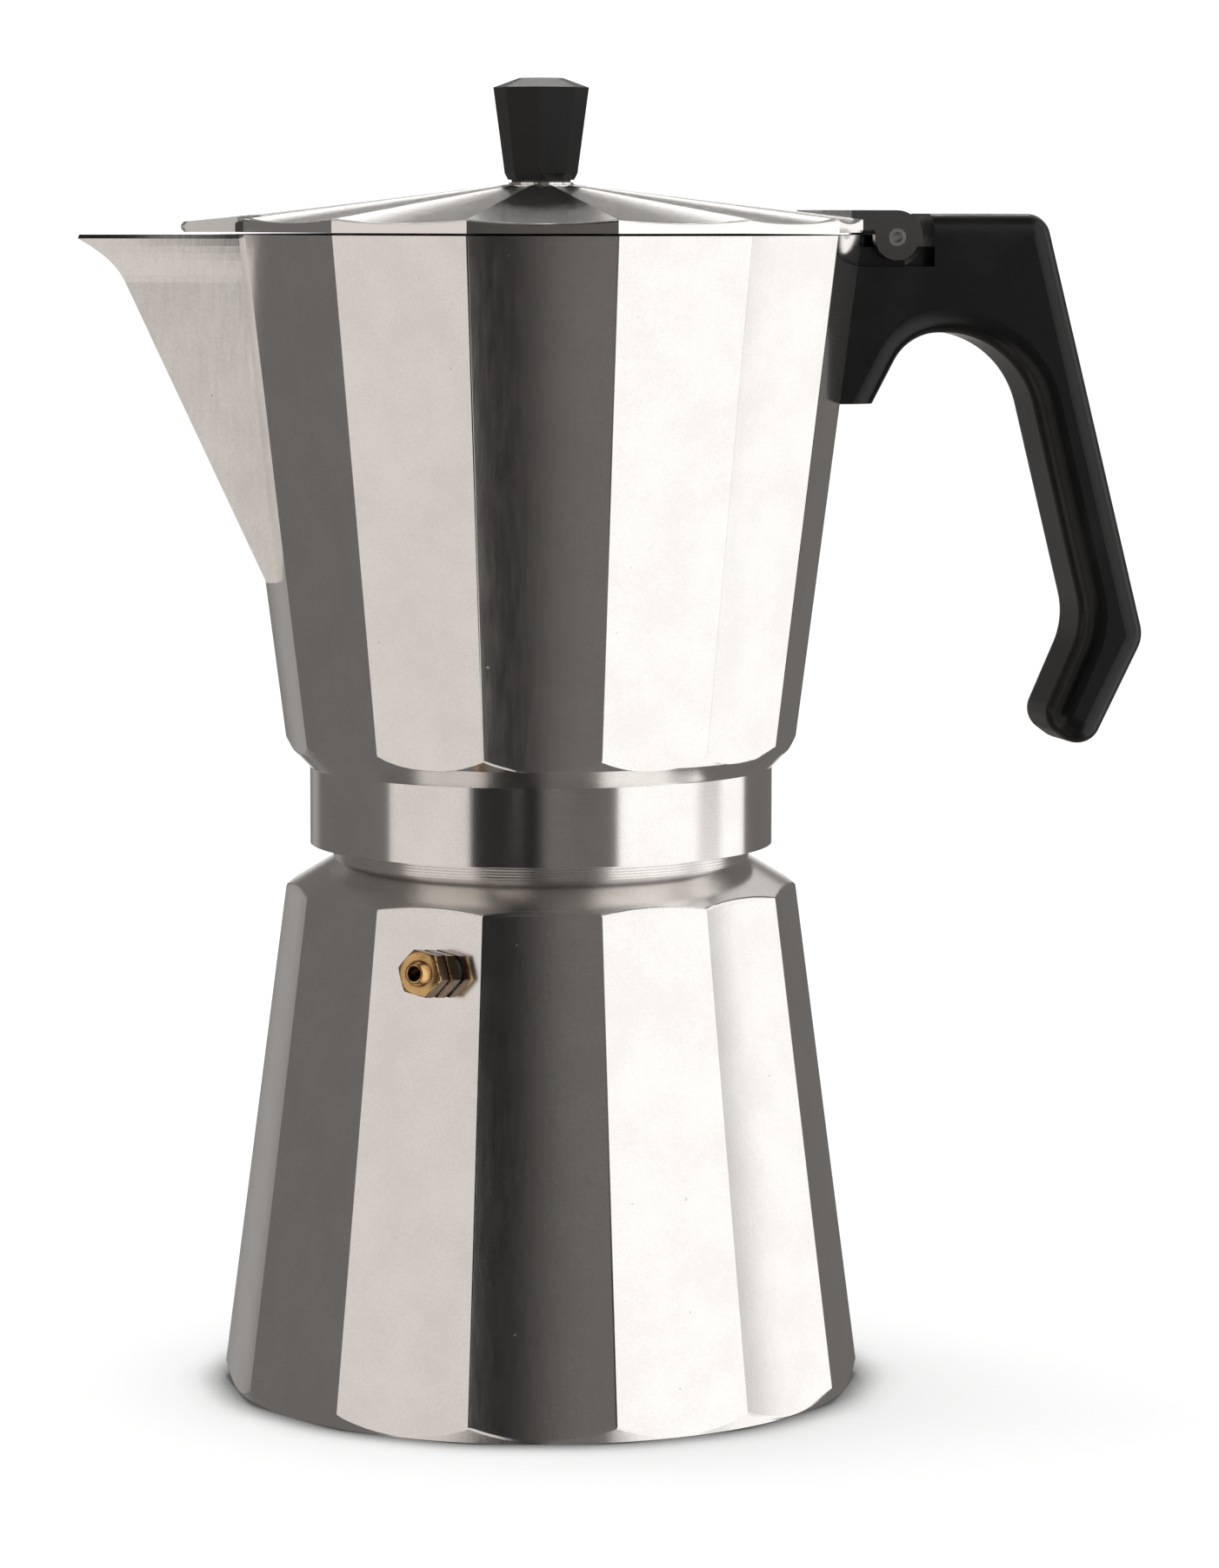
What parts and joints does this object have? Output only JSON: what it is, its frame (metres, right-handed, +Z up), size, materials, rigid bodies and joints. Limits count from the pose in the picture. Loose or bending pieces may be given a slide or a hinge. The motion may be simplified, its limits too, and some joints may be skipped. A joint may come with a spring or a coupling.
{
  "type": "moka pot",
  "caption": "Stove-top coffee pot: faceted aluminium boiler and collector on a screw thread, V spout, hinged fluted lid, black knob and handle.",
  "frame": {"origin": "centre of the flat face that the boiler stands on", "axes": "+Z up the pot's axis, +X towards the handle, -X towards the spout"},
  "size_m": [0.2219, 0.1308, 0.267],
  "materials": {
    "cast_aluminium": "polished casting",
    "spun_aluminium": "satin, spun",
    "sheet_aluminium": "satin sheet",
    "fibre": "matt fibre",
    "brass": "turned",
    "steel": "turned",
    "seal_rubber": "matt",
    "black_phenolic": "satin moulded"
  },
  "bodies": {
    "boiler_body": {"boiler": "cast_aluminium", "funnel": "spun_aluminium", "funnel_strainer": "sheet_aluminium", "valve_washer": "fibre", "valve_body": "brass", "valve_cap": "brass", "valve_spring": "steel"},
    "valve_ball_body": {"valve_ball": "steel"},
    "seal_body": {"gasket": "seal_rubber", "filter_plate": "sheet_aluminium"},
    "collector_body": {"collector": "cast_aluminium", "handle": "black_phenolic", "handle_washer": "steel", "handle_screw": "steel", "hinge_pin": "steel"},
    "lid_body": {"lid": "cast_aluminium", "knob": "black_phenolic", "knob_insert": "brass", "knob_washer": "fibre", "knob_screw": "steel"}
  },
  "joints": [
    {"name": "valve_lift", "type": "slide", "parent": "boiler_body", "child": "valve_ball_body", "axis": [-0.6185, -0.7755, 0.1266], "range_m": [0, 0.001], "stiffness_N_per_m": 800, "springref_m": -0.004, "deforming": ["valve_spring"]},
    {"name": "collector_rise", "type": "slide", "parent": "boiler_body", "child": "seal_body", "axis": [0, 0, 1], "range_m": [0, 0.00901]},
    {"name": "collector_turn", "type": "hinge", "parent": "seal_body", "child": "collector_body", "pos_m": [0, 0, 0.12], "axis": [0, 0, 1], "range_deg": [0, 1080]},
    {"name": "lid_hinge", "type": "hinge", "parent": "collector_body", "child": "lid_body", "pos_m": [0.0725, 0, 0.235], "axis": [0, 1, 0], "range_deg": [0, 100]}
  ],
  "couplings": [
    {"joint": "collector_rise", "follows": "collector_turn", "m_per_rad": 0.00047746}
  ]
}
